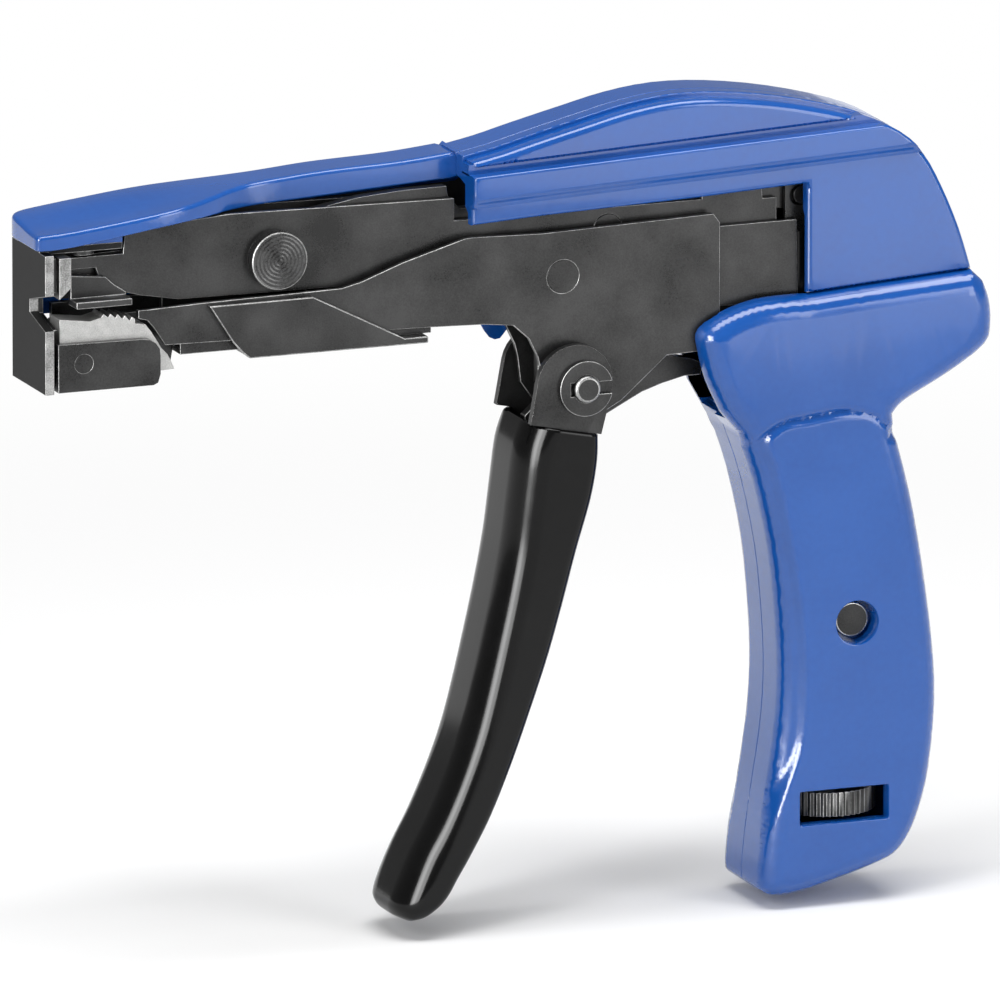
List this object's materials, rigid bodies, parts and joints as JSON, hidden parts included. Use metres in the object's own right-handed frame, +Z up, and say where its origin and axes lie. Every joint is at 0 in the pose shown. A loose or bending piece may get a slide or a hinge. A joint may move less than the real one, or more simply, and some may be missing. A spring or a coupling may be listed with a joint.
{
  "type": "cable tie tensioning tool",
  "caption": "Pistol-grip hand tool that pulls a cable tie tight with a toothed pawl and cuts off its tail at a set tension",
  "frame": {"origin": "front face of the nose plate, in the parting plane of the casing, at the level of the tie", "axes": "+X from the nose to the rear, +Z up, -Y towards the side on which the tie slot is open"},
  "size_m": [0.1621, 0.02, 0.1315],
  "materials": {
    "blue_enamel": "gloss",
    "black_steel": "satin",
    "satin_steel": "satin",
    "bright_steel": "satin",
    "black_dip": "gloss"
  },
  "bodies": {
    "frame": {"right_casing": "blue_enamel", "left_casing": "blue_enamel", "front_plate": "black_steel", "shear_guide": "black_steel", "strap_anvil": "black_steel", "frame_left": "black_steel", "frame_right": "black_steel", "frame_spacers": "bright_steel", "lever_rivet": "black_steel", "fulcrum_pin": "bright_steel", "spring_post": "bright_steel", "body_screws": "bright_steel", "grip_screw": "bright_steel", "nose_screws": "bright_steel", "return_spring": "bright_steel", "tension_spring": "bright_steel"},
    "pull_bar": {"bar_left": "black_steel", "bar_right": "black_steel", "bar_core": "black_steel", "bar_tail": "black_steel", "guide_pins": "black_steel", "guide_bracket": "black_steel", "pawl_carrier": "black_steel", "pawl_pin": "black_steel", "pawl_spring": "bright_steel"},
    "pawl": {"pawl": "satin_steel"},
    "trigger": {"trigger_channel": "black_steel", "trigger_sleeve": "black_dip", "trigger_arm": "black_steel", "load_pin": "bright_steel", "retaining_clips": "black_steel"},
    "cutter": {"cutter_lever": "black_steel", "rod_pin": "bright_steel"},
    "blade": {"cutter_blade": "satin_steel"},
    "rod": {"tension_rod": "bright_steel"},
    "wheel": {"adjuster_wheel": "black_steel", "adjuster_screw": "bright_steel"},
    "nut": {"adjuster_nut": "black_steel"}
  },
  "joints": [
    {"name": "trigger_squeeze", "type": "hinge", "parent": "frame", "child": "trigger", "pos_m": [0.09673, 0, 0.00563], "axis": [0, -1, 0], "range_deg": [0, 26.49], "stiffness_Nm_per_rad": 0.4, "springref_deg": -20.05},
    {"name": "bar_slide", "type": "slide", "parent": "frame", "child": "pull_bar", "axis": [1, 0, 0], "range_m": [0, 0.01147]},
    {"name": "pawl_pivot", "type": "hinge", "parent": "pull_bar", "child": "pawl", "pos_m": [0.0065, 0, -0.0078], "axis": [0, -1, 0], "range_deg": [-3, 3], "stiffness_Nm_per_rad": 0.02, "deforming": ["pawl_spring"]},
    {"name": "cutter_swing", "type": "hinge", "parent": "frame", "child": "cutter", "pos_m": [0.04038, 0, 0.0055], "axis": [0, -1, 0], "range_deg": [0, 4.67], "stiffness_Nm_per_rad": 2, "springref_deg": -5.73},
    {"name": "blade_drop", "type": "slide", "parent": "frame", "child": "blade", "axis": [0, 0, -1], "range_m": [0, 0.00301]},
    {"name": "rod_lift", "type": "slide", "parent": "frame", "child": "rod", "axis": [0, 0, 1], "range_m": [0, 0.0074], "deforming": ["tension_spring"]},
    {"name": "wheel_turn", "type": "hinge", "parent": "frame", "child": "wheel", "pos_m": [0.13475, -0.0012, -0.09036], "axis": [0, 0, 1], "range_deg": [-720, 720]},
    {"name": "nut_climb", "type": "slide", "parent": "frame", "child": "nut", "axis": [0, 0, 1], "range_m": [-0.0031, 0.0031]}
  ],
  "couplings": [
    {"joint": "bar_slide", "follows": "trigger_squeeze", "m_per_rad": 0.02478},
    {"joint": "blade_drop", "follows": "cutter_swing", "m_per_rad": 0.0368},
    {"joint": "rod_lift", "follows": "cutter_swing", "m_per_rad": 0.0896},
    {"joint": "nut_climb", "follows": "wheel_turn", "m_per_rad": 0.0002387}
  ]
}
